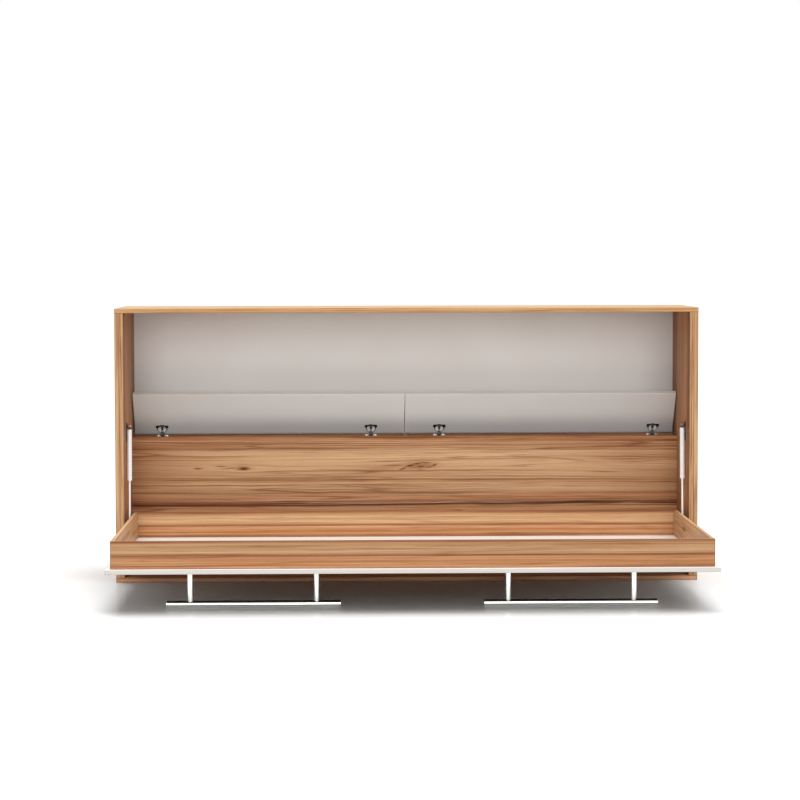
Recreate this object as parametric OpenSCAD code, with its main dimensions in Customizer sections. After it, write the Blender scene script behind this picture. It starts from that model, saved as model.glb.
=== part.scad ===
// Side-tilting single wall bed, lowered for the night, millimetres.
// X runs along the bed, Y runs from the room to the wall, Z is up.
// The origin is on the floor at the middle of the cabinet's footprint.

/* [Mattress] */
// Length of the mattress that the tray takes
mattress_l = 2000; // [1800:10:2200]
// Width of the mattress that the tray takes
mattress_w = 900; // [800:10:1000]
// Play between the mattress and each rail
mattress_play = 1; // [0.5:0.5:6]

/* [Boards] */
// Thickness of the carcass boards
board_t = 16; // [15:0.5:19]
// Thickness of the tray rails
rail_t = 16; // [15:0.5:19]
// Height of the tray rails
rail_h = 94; // [90:1:120]
// Thickness of the door slab
door_t = 16; // [15:0.5:19]
// Thickness of the back panel
back_t = 8; // [5:0.5:10]
// Thickness of the storage lids
lid_t = 16; // [15:0.5:17]
// Chamfer along the edges of every board
arris = 1; // [0.4:0.1:1.5]

/* [Carcass] */
// Depth of the cabinet
cab_d = 472; // [465:1:560]
// Free space between a side and the tray's end, for the lift gear
side_gap = 22; // [22:0.5:30]
// Diameter of the wooden dowels
dowel_d = 8; // [6:0.5:8]
// Length of the wooden dowels
dowel_l = 30; // [24:1:30]
// Depth of a dowel's hole in the face of a board
dowel_face_depth = 11; // [8:0.5:12]
// Distance of the end dowels from a board's edge
dowel_inset = 60; // [40:1:90]
// Free space at each end of a dowel
dowel_end_gap = 0.5; // [0.2:0.1:1]

/* [Door] */
// Height of the lowered door's underside above the floor
leg_h = 134; // [120:1:160]
// Height of the pivot above the door slab
pivot_rise = 10; // [10:0.5:16]
// Door slab's reach past the tray's front rail
door_nose = 16; // [12:1:20]
// Door slab's reach past the tray's rear rail
door_tail = 16; // [12:1:20]
// Gap between the closed door and the top panel
door_gap_top = 3; // [2:0.5:6]
// Gap between the closed door and the bottom panel
door_gap_bottom = 5; // [5:0.5:8]
// Gap between the door and each side
door_gap_side = 4; // [4:0.5:6]

/* [Legs] */
// Distance of each foot bar from the door's front edge
leg_inset = 145; // [100:1:200]
// Distance of each leg's middle from the bed's middle
leg_centre_x = 542; // [450:1:600]
// Length of a foot bar
foot_bar_l = 595; // [500:1:700]
// Diameter of a foot bar
foot_bar_d = 25; // [22:0.5:30]
// Distance of each post's middle from its end of the foot bar
post_inset = 82.5; // [60:0.5:110]
// Diameter of a post
post_d = 19; // [16:0.5:20]
// Wall of the leg tubes
tube_wall = 1.5; // [1.2:0.1:2]
// Diameter of the bolt that holds a post to the door
leg_bolt_d = 8; // [6:0.5:8]
// Depth of the leg bolt's hole in the door
leg_bolt_depth = 12; // [10:0.5:13]
// Length of the solid plug in a post's upper end
post_plug_l = 22; // [18:1:30]
// Length of the plug that closes a foot bar's end
cap_plug_l = 10; // [6:0.5:16]
// Thickness of the plug's rim, which covers the tube's end
cap_rim_t = 2; // [1.2:0.1:3]

/* [Storage] */
// Distance of the storage front from the cabinet's front edge
storage_y = 320; // [300:1:322]
// Height of the storage box's top edge above the floor
storage_h = 512; // [460:1:600]
// Height of the rail that carries the lid hinges
hinge_rail_h = 80; // [76:1:120]
// Reach of a closed lid past the storage front, for the hand
lid_nose = 59; // [50:1:68]
// Gap below a closed lid
lid_gap = 1; // [1:0.1:2]
// Gap between a lid's rear edge and the back panel
lid_rear_gap = 14; // [14:0.5:15]
// Gap between a lid and the side
lid_side_gap = 5; // [3:0.5:8]
// Gap between the two lids
lid_mid_gap = 3; // [2:0.5:6]
// Opening of the lids at rest, in degrees from closed
lid_open = 55; // [0:1:88]
// Diameter of the bumper pads under the lids
bumper_d = 8; // [6:0.5:10]
// Thickness of the bumper pads
bumper_t = 0.8; // [0.5:0.1:0.9]
// Distance of the end bumper pads from the side and the middle
bumper_inset = 60; // [30:1:100]

/* [Concealed hinges] */
// Left lid: outer hinge's distance from the side
hinge_left_outer = 109; // [60:1:200]
// Left lid: inner hinge's distance from the middle
hinge_left_inner = 129; // [60:1:200]
// Right lid: outer hinge's distance from the side
hinge_right_outer = 82; // [60:1:200]
// Right lid: inner hinge's distance from the middle
hinge_right_inner = 134; // [60:1:200]
// Turning axis: distance in from the lid's rear edge
hinge_axis_in = 3; // [2.5:0.1:3.5]
// Turning axis: height above the closed lid's underside
hinge_axis_up = 14; // [13.5:0.1:14.5]
// Diameter of the cup
cup_d = 35; // [35:0.5:36]
// Depth of the cup below the lid's face
cup_depth = 11.5; // [11:0.1:12]
// Wall of the cup
cup_wall = 1.9; // [1.2:0.1:2]
// Thickness of the cup's floor
cup_floor = 1; // [0.8:0.1:1.2]
// Distance of the cup's middle from the lid's rear edge
cup_set = 22.5; // [22:0.1:22.9]
// Diameter of the cup's flange
cup_flange_d = 39; // [38:0.5:40]
// Thickness of the cup's flange and of its two wings
cup_flange_t = 1.2; // [0.8:0.1:1.3]
// Width across the two wings
wing_w = 48; // [46:0.5:54]
// Depth of the wings
wing_d = 13; // [11:0.5:14]
// Distance of the wings from the cup's middle
wing_set = 10.5; // [9.5:0.5:12]
// Corner radius of the wings and of the mounting plate
wing_r = 4; // [2:0.5:5]
// Distance between the two screw holes in the wings
wing_screws = 38; // [37:0.5:39]
// Diameter of the hinge's screw holes
hinge_screw_d = 4; // [3.5:0.1:4.2]
// Width of the hinge arm
arm_w = 13; // [12.5:0.1:13.5]
// Thickness of the arm's sheet steel
arm_t = 1.5; // [1:0.1:1.6]
// Depth of the arm in front of its mounting plate
arm_depth = 9; // [8:0.5:9]
// Length of the arm's channel down the rail
arm_l = 36; // [30:1:40]
// Width of the slot for the depth screw in the arm
arm_slot_w = 5; // [4:0.5:5.5]
// Length of the slot for the depth screw
arm_slot_l = 12; // [9:0.5:14]
// Height of the slot's middle above the arm's foot
arm_slot_z = 11; // [9:0.5:13]
// Diameter of the hole for the side screw in the arm
arm_hole_d = 6; // [5:0.5:7]
// Height of the side screw's hole above the arm's foot
arm_hole_z = 26; // [24:0.5:28]
// Width of the arm's neck, seen from the side
neck_w = 6; // [5:0.1:6.5]
// Knuckle at the neck's end: distance forward of the turning axis
knuckle_out = 17; // [16:0.5:18]
// Knuckle at the neck's end: distance below the turning axis
knuckle_down = 11; // [10:0.5:12]
// Width of the link inside the arm
link_w = 8; // [7:0.1:8.2]
// Thickness of the link
link_t = 3.4; // [3:0.1:3.5]
// Diameter of the pin across the cup
link_pin_d = 4; // [3:0.1:4]
// Thickness of the mounting plate
mount_t = 2; // [1.5:0.1:2]
// Width across the mounting plate's wings
mount_w = 46; // [42:0.5:50]
// Height of the mounting plate's wings
mount_wing_h = 11; // [9:0.5:12]
// Distance between the mounting plate's two screw holes
mount_screws = 32; // [30:0.5:34]
// Distance of the mounting plate's top below the rail's top
mount_drop = 1; // [0.8:0.1:2]

/* [Bed pivot] */
// Diameter of the pivot pin
pin_d = 10; // [8:0.5:10]
// Diameter of the boss round the pin
boss_d = 18; // [17.6:0.1:18]
// Length of the cabinet plate's boss
boss_h = 3; // [2.5:0.1:4]
// Wall of the plain bush
bush_wall = 1.5; // [1:0.1:1.5]
// Diameter of the bush's flange
bush_flange_d = 17; // [16:0.1:17.5]
// Thickness of the bush's flange
bush_flange_t = 1.5; // [1:0.1:2]
// Thickness of the cabinet's pivot plate
cab_plate_t = 3; // [2.5:0.1:3.2]
// Width of the cabinet's pivot plate
cab_plate_w = 60; // [50:1:70]
// Height of the cabinet's pivot plate
cab_plate_h = 100; // [80:1:110]
// Distance of the plate's front edge from the pivot
cab_plate_front = 20; // [16:1:22]
// Thickness of the tray's pivot plate
bed_plate_t = 4; // [3:0.1:5]
// Width of the tray's pivot plate
bed_plate_w = 70; // [60:1:74]
// Distance of the tray plate's front edge from the pivot
bed_plate_front = 36; // [32:1:40]
// Height of the tray's pivot plate
bed_plate_h = 84; // [76:1:88]
// Distance of the tray's pivot plate above the door
bed_plate_rise = 1; // [0.5:0.5:2]
// Diameter of the screw holes in the steel plates
plate_screw_d = 5; // [4:0.1:6]
// Distance of the plates' screw holes from their edges
plate_screw_inset = 10; // [8:0.5:12]
// Corner radius of the steel plates
plate_r = 6; // [3:0.5:8]

/* [Gas struts] */
// Upper eye: distance behind the cabinet's front edge
strut_up_y = 105; // [95:1:125]
// Upper eye: height above the floor
strut_up_z = 568; // [560:1:600]
// Lower eye: distance behind the cabinet's front edge
strut_low_y = 80; // [75:1:90]
// Lower eye: height above the tray's underside
strut_low_rise = 40; // [35:1:50]
// Diameter of the cylinder
strut_d = 18; // [16:0.5:18]
// Wall of the cylinder
strut_wall = 1.25; // [1:0.05:1.5]
// Diameter of the piston rod
strut_rod_d = 8; // [6:0.5:8]
// Length of the cylinder
strut_body_l = 189; // [180:1:200]
// Distance from the upper eye's middle to the cylinder
strut_neck_l = 12; // [11:0.5:16]
// Thickness of the cylinder's closed end
strut_head_l = 9; // [6:0.5:12]
// Depth of the groove rolled into the cylinder round the guide
strut_groove = 0.6; // [0.3:0.1:0.8]
// Length of the black guide at the cylinder's open end
strut_guide_l = 8; // [6:0.5:12]
// Length of the guide's plug inside the cylinder
strut_plug_l = 8; // [6:0.5:10]
// Length of the piston
piston_l = 8; // [6:0.5:10]
// Length of rod that stays inside when the bed is closed
rod_left_inside = 30; // [25:1:40]
// Diameter of the upper and lower eyes
eye_d = 17; // [16:0.5:18]
// Thickness of the eyes
eye_t = 9; // [8.5:0.5:10]
// Diameter of the studs that carry the eyes
stud_d = 8; // [6:0.5:8]
// Free space between the tray and the cylinder
strut_side_clear = 1; // [0.8:0.1:1]
// Thickness of the upper bracket
bracket_t = 2.5; // [2:0.1:2.7]
// Width of the upper bracket
bracket_w = 28; // [26:1:34]
// Height of the upper bracket
bracket_h = 70; // [60:1:80]
// Height of the upper bracket's top above the upper eye
bracket_top = 12; // [11:0.5:16]
// Distance between the upper bracket's two screw holes
bracket_screws = 26; // [20:0.5:30]
// Width of the collar between the upper bracket and the eye
bracket_collar = 2; // [1:0.5:3]
// Thickness of the lower stud's plate
stud_plate_t = 3; // [2:0.1:4]
// Width of the lower stud's plate
stud_plate_w = 26; // [22:1:28]
// Height of the lower stud's plate
stud_plate_h = 40; // [34:1:44]
// Distance between the two screws of the lower stud's plate
stud_plate_screws = 27; // [24:1:28]
// Thickness of the clip that keeps the upper eye on
clip_t = 1.2; // [1:0.1:1.4]
// Diameter of the clip
clip_d = 13; // [11:0.5:14]

/* [Wall fixing] */
// Diameter of the wall screw holes in the hinge rail
wall_hole_d = 8; // [6:0.5:9]
// Distance between the two columns of wall screw holes
wall_hole_dx = 1600; // [1200:10:1700]
// Distance between the two rows of wall screw holes
wall_hole_dz = 40; // [30:1:50]

/* [Hidden] */
$fn = 64;

// Colours as the photograph shows them
wood = "#be8f66";
lacquer_white = "#e6e4e1";
board_grey = "#d2cfca";
bright_chrome = "#d9dadc";
black_steel = "#1c1a19";
zinc = "#b4b2ad";
nylon = "#e6e3dc";
beech = "#d9b98c";

// Clearances: a running pin, a piece fixed in its hole, faces that pass, a dowel in its hole
run_clear = 0.05;
fix_clear = 0.02;
face_clear = 0.3;
dowel_clear = 0.05;
// Overshoot of a cut past the face that it opens, and overlap of two joined solids
cut = 1;
merge = 0.5;

// Tray and cabinet sizes that follow from the mattress
tray_l = mattress_l + 2 * mattress_play + 2 * rail_t;
tray_w = mattress_w + 2 * mattress_play + 2 * rail_t;
door_len = tray_w + door_nose + door_tail;
inner_w = tray_l + 2 * side_gap;
inner_x = inner_w / 2;
tray_x = tray_l / 2;
cab_w = inner_w + 4 * board_t;
cab_h = 2 * board_t + door_gap_top + door_gap_bottom + door_len;
front = -cab_d / 2;
rear = cab_d / 2;
inner_h = cab_h - 2 * board_t;

// Pivot as far behind the front edge as it is above the door's outer face, so the door closes flush
pivot_y = front + door_t + pivot_rise;
pivot_z = leg_h + door_t + pivot_rise;
door_top = leg_h + door_t;
door_front = pivot_y - (cab_h - board_t - door_gap_top - pivot_z);
door_x = inner_x - door_gap_side;
tray_front = door_front + door_nose;
tray_rear = tray_front + tray_w;
leg_y = door_front + leg_inset;

// Storage box and lids
hinge_face_y = rear - back_t - board_t;
lid_rear = rear - back_t - lid_rear_gap;
lid_l = lid_rear - front - storage_y + lid_nose;
lid_under = storage_h + lid_gap;
lid_axis_y = lid_rear - hinge_axis_in;
lid_axis_z = lid_under + hinge_axis_up;
lid_w = inner_x - lid_side_gap - lid_mid_gap / 2;
hinges_left = [-(inner_x - hinge_left_outer), -hinge_left_inner];
hinges_right = [hinge_right_inner, inner_x - hinge_right_outer];
cup_r = cup_d / 2 - run_clear;
bowl_r = cup_r - cup_wall;

// Gas struts: upper eye, lower eye, and the lower eye carried round by a quarter turn
up_y = front + strut_up_y;
up_z = strut_up_z;
low_y = front + strut_low_y;
low_z = door_top + strut_low_rise;
shut_y = pivot_y + (low_z - pivot_z);
shut_z = pivot_z - (low_y - pivot_y);
strut_len = norm([up_y - low_y, up_z - low_z]);
strut_len_shut = norm([up_y - shut_y, up_z - shut_z]);
strut_lean = atan2(up_y - low_y, up_z - low_z);
strut_stroke = strut_len_shut - strut_len;
strut_x = tray_x + strut_side_clear + strut_d / 2;
strut_end = strut_neck_l + strut_body_l;
rod_top = strut_end - strut_stroke - rod_left_inside - strut_plug_l - strut_guide_l;
eye_near = strut_x - eye_t / 2;
eye_far = strut_x + eye_t / 2;

// Outline of a board's section with its four edges broken
module board_section(w, h) {
    a = arris;
    polygon([[a, 0], [w - a, 0], [w, a], [w, h - a], [w - a, h], [a, h], [0, h - a], [0, a]]);
}

// Boards whose long way runs along X, Y or Z, from their lowest corner
module board_x(size) {
    rotate([90, 0, 90]) linear_extrude(size[0]) board_section(size[1], size[2]);
}

module board_y(size) {
    translate([0, size[1], 0]) rotate([90, 0, 0]) linear_extrude(size[1]) board_section(size[0], size[2]);
}

module board_z(size) {
    linear_extrude(size[2]) board_section(size[0], size[1]);
}

// Right-hand geometry, mirrored for the left side
module on_side(s) {
    if (s < 0) mirror([1, 0, 0]) children();
    else children();
}

// Round bar or hole along X, starting at x
module along_x(x, d, l) {
    translate([x, 0, 0]) rotate([0, 90, 0]) cylinder(d = d, h = l);
}

// Steel plate with round corners, standing square to X, from its lowest corner
module side_plate(t, w, h, r) {
    rotate([90, 0, 90]) linear_extrude(t) round_outline(w, h, r);
}

module round_outline(w, h, r) {
    translate([r, 0]) square([w - 2 * r, h]);
    translate([0, r]) square([w, h - 2 * r]);
    for (x = [r, w - r], y = [r, h - r]) translate([x, y]) circle(r = r);
}

// Places along a stretch: n places from a to b
function spread(a, b, n) = [for (i = [0 : n - 1]) a + (b - a) * i / (n - 1)];

// Dowel places: sides to the top and bottom panels, then rails to the door slab
side_dowel_x = cab_w / 2 - board_t / 2;
side_dowel_ys = spread(front + dowel_inset, rear - dowel_inset, 3);
long_rail_xs = spread(-tray_x + dowel_inset, tray_x - dowel_inset, 5);
long_rail_ys = [tray_front + rail_t / 2, tray_rear - rail_t / 2];
end_rail_xs = [-tray_x + rail_t / 2, tray_x - rail_t / 2];
end_rail_ys = spread(tray_front + rail_t + dowel_inset, tray_rear - rail_t - dowel_inset, 3);

module side_dowel_holes(z, l) {
    for (x = [-side_dowel_x, side_dowel_x], y = side_dowel_ys)
        translate([x, y, z]) cylinder(d = dowel_d + 2 * dowel_clear, h = l);
}

module tray_dowel_places() {
    for (x = long_rail_xs, y = long_rail_ys) translate([x, y, 0]) children();
    for (x = end_rail_xs, y = end_rail_ys) translate([x, y, 0]) children();
}

// Depth of a dowel's hole in the end of a side or in a rail's edge
dowel_edge_depth = dowel_l - dowel_face_depth + 2 * dowel_end_gap;

// Top panel over both double sides
module top_panel() {
    color(wood) difference() {
        translate([-cab_w / 2, front, cab_h - board_t]) board_x([cab_w, cab_d, board_t]);
        side_dowel_holes(cab_h - board_t - cut, dowel_face_depth + cut);
    }
}

// Bottom panel flat on the floor
module bottom_panel() {
    color(wood) difference() {
        translate([-cab_w / 2, front, 0]) board_x([cab_w, cab_d, board_t]);
        side_dowel_holes(board_t - dowel_face_depth, dowel_face_depth + cut);
    }
}

// Outer board of a double side, dowelled between the top and bottom panels
module side_outer(s) {
    color(wood) on_side(s) difference() {
        translate([inner_x + board_t, front, board_t]) board_z([board_t, cab_d, inner_h]);
        side_dowel_holes(board_t - cut, dowel_edge_depth + cut);
        side_dowel_holes(cab_h - board_t - dowel_edge_depth, dowel_edge_depth + cut);
    }
}

// Inner board of a double side, which carries the lift gear
module side_inner(s) {
    color(wood) on_side(s)
        translate([inner_x, front, board_t]) board_z([board_t, cab_d, inner_h]);
}

// Dowels that hold the double sides to the top and bottom panels
module carcass_dowels() {
    low = board_t - dowel_face_depth + dowel_end_gap;
    color(beech) for (x = [-side_dowel_x, side_dowel_x], y = side_dowel_ys, z = [low, cab_h - low - dowel_l])
        translate([x, y, z]) cylinder(d = dowel_d, h = dowel_l);
}

// Places of the four screws that hold the bed to the wall
module wall_hole_places() {
    for (x = [-wall_hole_dx / 2, wall_hole_dx / 2], z = [-wall_hole_dz / 2, wall_hole_dz / 2])
        translate([x, 0, storage_h - hinge_rail_h / 2 + z]) children();
}

module wall_holes() {
    wall_hole_places() translate([0, rear + cut, 0]) rotate([90, 0, 0])
        cylinder(d = wall_hole_d, h = back_t + board_t + 2 * cut);
}

module back_panel() {
    color(board_grey) difference() {
        translate([-inner_x, rear - back_t, board_t]) board_x([inner_w, back_t, inner_h]);
        wall_holes();
    }
}

// Rail behind the lids, which holds their hinges and takes the wall screws
module hinge_rail() {
    color(wood) difference() {
        translate([-inner_x, hinge_face_y, storage_h - hinge_rail_h])
            board_x([inner_w, board_t, hinge_rail_h]);
        wall_holes();
    }
}

module storage_front() {
    color(wood)
        translate([-inner_x, front + storage_y, board_t]) board_x([inner_w, board_t, storage_h - board_t]);
}

// Upright between the two storage compartments, notched round the hinge rail
module storage_divider() {
    y0 = front + storage_y + board_t;
    notch_z = storage_h - hinge_rail_h;
    color(wood) translate([-board_t / 2, 0, 0]) rotate([90, 0, 90]) linear_extrude(board_t)
        polygon([[y0, board_t], [rear - back_t, board_t], [rear - back_t, notch_z],
                 [hinge_face_y, notch_z], [hinge_face_y, storage_h], [y0, storage_h]]);
}

// Soft pads that the closed lids rest on
module lid_bumpers() {
    xs = spread(bumper_inset, inner_x - bumper_inset, 3);
    color(nylon) for (s = [-1, 1], x = xs)
        translate([s * x, front + storage_y + board_t / 2, storage_h]) cylinder(d = bumper_d, h = bumper_t);
}

// Steel plate on the cabinet's side with the boss that holds the bush
cab_boss_x = inner_x - cab_plate_t - boss_h;
bush_d = pin_d + 2 * run_clear + 2 * bush_wall;

module cabinet_pivot(s) {
    color(black_steel) on_side(s) difference() {
        union() {
            translate([inner_x - cab_plate_t, pivot_y - cab_plate_front, pivot_z - cab_plate_h / 2])
                side_plate(cab_plate_t, cab_plate_w, cab_plate_h, plate_r);
            translate([0, pivot_y, pivot_z]) along_x(cab_boss_x, boss_d, boss_h);
        }
        translate([0, pivot_y, pivot_z])
            along_x(cab_boss_x - cut, bush_d + 2 * fix_clear, boss_h + cab_plate_t + 2 * cut);
        for (y = [plate_screw_inset, cab_plate_w - plate_screw_inset], e = [-1, 1])
            translate([0, pivot_y - cab_plate_front + y, pivot_z + e * (cab_plate_h / 2 - plate_screw_inset)])
                along_x(inner_x - cab_plate_t - cut, plate_screw_d, cab_plate_t + 2 * cut);
    }
}

// Plain flanged bush pressed into the cabinet's boss
module pivot_bush(s) {
    color(nylon) on_side(s) translate([0, pivot_y, pivot_z]) difference() {
        union() {
            along_x(cab_boss_x - bush_flange_t, bush_flange_d, bush_flange_t);
            along_x(cab_boss_x - merge, bush_d, boss_h + cab_plate_t - face_clear + merge);
        }
        along_x(cab_boss_x - bush_flange_t - cut, pin_d + 2 * run_clear,
                boss_h + cab_plate_t + bush_flange_t + 2 * cut);
    }
}

// Steel plate on the tray's end rail with the boss that holds the pin
bed_plate_z = door_top + bed_plate_rise;
bed_boss_end = cab_boss_x - bush_flange_t - face_clear;

module bed_pivot(s) {
    color(black_steel) on_side(s) difference() {
        union() {
            translate([tray_x, pivot_y - bed_plate_front, bed_plate_z])
                side_plate(bed_plate_t, bed_plate_w, bed_plate_h, plate_r);
            translate([0, pivot_y, pivot_z])
                along_x(tray_x + bed_plate_t - merge, boss_d, bed_boss_end - tray_x - bed_plate_t + merge);
        }
        translate([0, pivot_y, pivot_z])
            along_x(tray_x - cut, pin_d + 2 * fix_clear, bed_boss_end - tray_x + 2 * cut);
        i = plate_screw_inset;
        for (y = [i, bed_plate_w - i], z = [i, bed_plate_h - i])
            translate([0, pivot_y - bed_plate_front + y, bed_plate_z + z])
                along_x(tray_x - cut, plate_screw_d, bed_plate_t + 2 * cut);
    }
}

// Pin fixed in the tray's boss, turning in the bush
module pivot_pin(s) {
    color(zinc) on_side(s) translate([0, pivot_y, pivot_z])
        along_x(tray_x, pin_d, inner_x - face_clear - tray_x);
}

// Bracket high on the cabinet's side with the stud that carries the upper eye
clip_near = eye_near - face_clear - clip_t;
stud_tip = clip_near - merge;

module strut_bracket(s) {
    face = inner_x - bracket_t;
    color(black_steel) on_side(s) union() {
        difference() {
            translate([face, up_y - bracket_w / 2, up_z + bracket_top - bracket_h])
                side_plate(bracket_t, bracket_w, bracket_h, plate_r);
            for (z = [0, bracket_screws])
                translate([0, up_y, up_z + bracket_top - bracket_h + plate_screw_inset + z])
                    along_x(face - cut, plate_screw_d, bracket_t + 2 * cut);
        }
        translate([0, up_y, up_z])
            along_x(eye_far + face_clear, stud_d + 2 * bracket_collar, face - eye_far - face_clear + merge);
        translate([0, up_y, up_z]) along_x(stud_tip, stud_d, face - stud_tip + merge);
    }
}

// Ring that keeps the upper eye on its stud
module strut_clip(s) {
    color(zinc) on_side(s) translate([0, up_y, up_z]) difference() {
        along_x(clip_near, clip_d, clip_t);
        along_x(clip_near - cut, stud_d + 2 * fix_clear, clip_t + 2 * cut);
    }
}

// Strut pieces are drawn hanging down from the upper eye, then leaned to the lower eye
module along_strut(s) {
    on_side(s) translate([strut_x, up_y, up_z]) rotate([-strut_lean, 0, 0]) children();
}

// Cylinder with its closed end, neck and upper eye, and the rolled groove near its open end
module strut_cylinder(s) {
    bore_d = strut_d - 2 * strut_wall;
    groove_z = -strut_end + strut_guide_l + strut_plug_l + 2;
    color("#dcdad7") along_strut(s) difference() {
        union() {
            along_x(-eye_t / 2, eye_d, eye_t);
            translate([0, 0, -strut_neck_l - merge]) cylinder(d = eye_t - 1, h = strut_neck_l - eye_d / 4);
            translate([0, 0, -strut_end + strut_guide_l])
                cylinder(d = strut_d, h = strut_body_l - strut_guide_l);
        }
        along_x(-eye_t, stud_d + 2 * run_clear, 2 * eye_t);
        translate([0, 0, -strut_end]) cylinder(d = bore_d, h = strut_body_l - strut_head_l);
        translate([0, 0, groove_z]) rotate_extrude()
            translate([strut_d / 2 + 1 - strut_groove, 0]) circle(r = 1, $fn = 24);
    }
}

// Guide and seal that close the cylinder and steer the rod
module strut_guide(s) {
    color(lacquer_white) along_strut(s) difference() {
        union() {
            translate([0, 0, -strut_end]) cylinder(d = strut_d, h = strut_guide_l);
            translate([0, 0, -strut_end + strut_guide_l - merge])
                cylinder(d = strut_d - 2 * strut_wall - 2 * fix_clear, h = strut_plug_l + merge);
        }
        translate([0, 0, -strut_end - cut])
            cylinder(d = strut_rod_d + 2 * run_clear, h = strut_guide_l + strut_plug_l + 2 * cut);
    }
}

// Piston rod with its lower eye; the eye faces the end of the tray's stud
module strut_rod(s) {
    color(bright_chrome) along_strut(s) difference() {
        union() {
            translate([0, 0, -strut_len]) along_x(-eye_t / 2, eye_d, eye_t);
            translate([0, 0, -strut_len + eye_d / 4 + merge])
                cylinder(d = strut_rod_d, h = strut_len - rod_top - eye_d / 4 - merge);
        }
        translate([0, 0, -strut_len]) along_x(-eye_t, stud_d + 2 * run_clear, 2 * eye_t);
    }
}

// Piston on the rod's inner end
module strut_piston(s) {
    color(nylon) along_strut(s) translate([0, 0, -rod_top])
        cylinder(d = strut_d - 2 * strut_wall - 4 * run_clear, h = piston_l);
}

// Stud on the tray's end rail that pushes against the lower eye
module strut_stud(s) {
    color(black_steel) on_side(s) union() {
        difference() {
            translate([tray_x, low_y - stud_plate_w / 2, low_z - stud_plate_h / 2])
                side_plate(stud_plate_t, stud_plate_w, stud_plate_h, plate_r);
            for (z = [-1, 1])
                translate([0, low_y, low_z + z * stud_plate_screws / 2])
                    along_x(tray_x - cut, hinge_screw_d, stud_plate_t + 2 * cut);
        }
        translate([0, low_y, low_z])
            along_x(tray_x + stud_plate_t - merge, stud_d,
                    eye_near - face_clear - tray_x - stud_plate_t + merge);
    }
}

// Door slab, which is also the mattress base
module door_panel() {
    color(lacquer_white) difference() {
        translate([-door_x, door_front, leg_h]) board_x([2 * door_x, door_len, door_t]);
        tray_dowel_places() translate([0, 0, door_top - dowel_face_depth])
            cylinder(d = dowel_d + 2 * dowel_clear, h = dowel_face_depth + cut);
        post_places() translate([0, 0, leg_h - cut])
            cylinder(d = leg_bolt_d + 2 * fix_clear, h = leg_bolt_depth + cut);
    }
}

module long_rail(y) {
    color(wood) difference() {
        translate([-tray_x, y, door_top]) board_x([tray_l, rail_t, rail_h]);
        tray_dowel_places() translate([0, 0, door_top - cut])
            cylinder(d = dowel_d + 2 * dowel_clear, h = dowel_edge_depth + cut);
    }
}

module end_rail(s) {
    color(wood) difference() {
        translate([s > 0 ? tray_x - rail_t : -tray_x, tray_front + rail_t, door_top])
            board_y([rail_t, tray_w - 2 * rail_t, rail_h]);
        tray_dowel_places() translate([0, 0, door_top - cut])
            cylinder(d = dowel_d + 2 * dowel_clear, h = dowel_edge_depth + cut);
    }
}

// Dowels that hold the rails on the door slab
module tray_dowels() {
    color(beech) tray_dowel_places()
        translate([0, 0, door_top - dowel_face_depth + dowel_end_gap]) cylinder(d = dowel_d, h = dowel_l);
}

// Middles of the four leg posts
post_reach = foot_bar_l / 2 - post_inset;
post_xs = [-leg_centre_x - post_reach, -leg_centre_x + post_reach,
           leg_centre_x - post_reach, leg_centre_x + post_reach];

module post_places() {
    for (x = post_xs) translate([x, leg_y, 0]) children();
}

// Tube of the foot bar, which is also the handle for lifting the bed
module leg_bar(s) {
    l = foot_bar_l - 2 * cap_rim_t;
    color(bright_chrome) translate([s * leg_centre_x, leg_y, foot_bar_d / 2]) difference() {
        along_x(-l / 2, foot_bar_d, l);
        along_x(-l / 2 - cut, foot_bar_d - 2 * tube_wall, l + 2 * cut);
    }
}

// Plug with a bevelled rim in each end of the foot bars
module leg_caps() {
    bevel = cap_rim_t / 2;
    plug_d = foot_bar_d - 2 * tube_wall - 2 * fix_clear;
    color(bright_chrome) for (s = [-1, 1], e = [-1, 1])
        translate([s * leg_centre_x + e * foot_bar_l / 2, leg_y, foot_bar_d / 2]) rotate([0, -90 * e, 0])
            rotate_extrude() polygon([[0, 0], [foot_bar_d / 2 - bevel, 0], [foot_bar_d / 2, bevel],
                [foot_bar_d / 2, cap_rim_t], [plug_d / 2, cap_rim_t],
                [plug_d / 2, cap_rim_t + cap_plug_l], [0, cap_rim_t + cap_plug_l]]);
}

// Post of round tube, its foot coped to saddle the bar, a threaded plug in its head
module leg_post(i) {
    bar_z = foot_bar_d / 2;
    color(bright_chrome) translate([post_xs[i], leg_y, 0]) difference() {
        translate([0, 0, bar_z]) cylinder(d = post_d, h = leg_h - bar_z);
        cylinder(d = post_d - 2 * tube_wall, h = leg_h - post_plug_l);
        translate([0, 0, leg_h - post_plug_l - cut])
            cylinder(d = leg_bolt_d + 2 * fix_clear, h = post_plug_l + 2 * cut);
        translate([0, 0, bar_z]) along_x(-post_d, foot_bar_d, 2 * post_d);
    }
}

// Bolts that hold the posts to the door
module leg_bolts() {
    color(zinc) post_places() translate([0, 0, leg_h - post_plug_l + merge])
        cylinder(d = leg_bolt_d, h = post_plug_l + leg_bolt_depth - 2 * merge);
}

// Pieces of a lid are drawn closed, then turned open about the hinge's axis
module opened() {
    translate([0, lid_axis_y, lid_axis_z]) rotate([-lid_open, 0, 0])
        translate([0, -lid_axis_y, -lid_axis_z]) children();
}

module lid(s) {
    xs = s < 0 ? hinges_left : hinges_right;
    color("#b9b5af") opened() difference() {
        translate([s < 0 ? -lid_mid_gap / 2 - lid_w : lid_mid_gap / 2, lid_rear - lid_l, lid_under])
            board_x([lid_w, lid_l, lid_t]);
        for (x = xs) translate([x, lid_rear - cup_set, lid_under - cut])
            cylinder(d = cup_d, h = cup_depth + merge + cut);
    }
}

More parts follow.
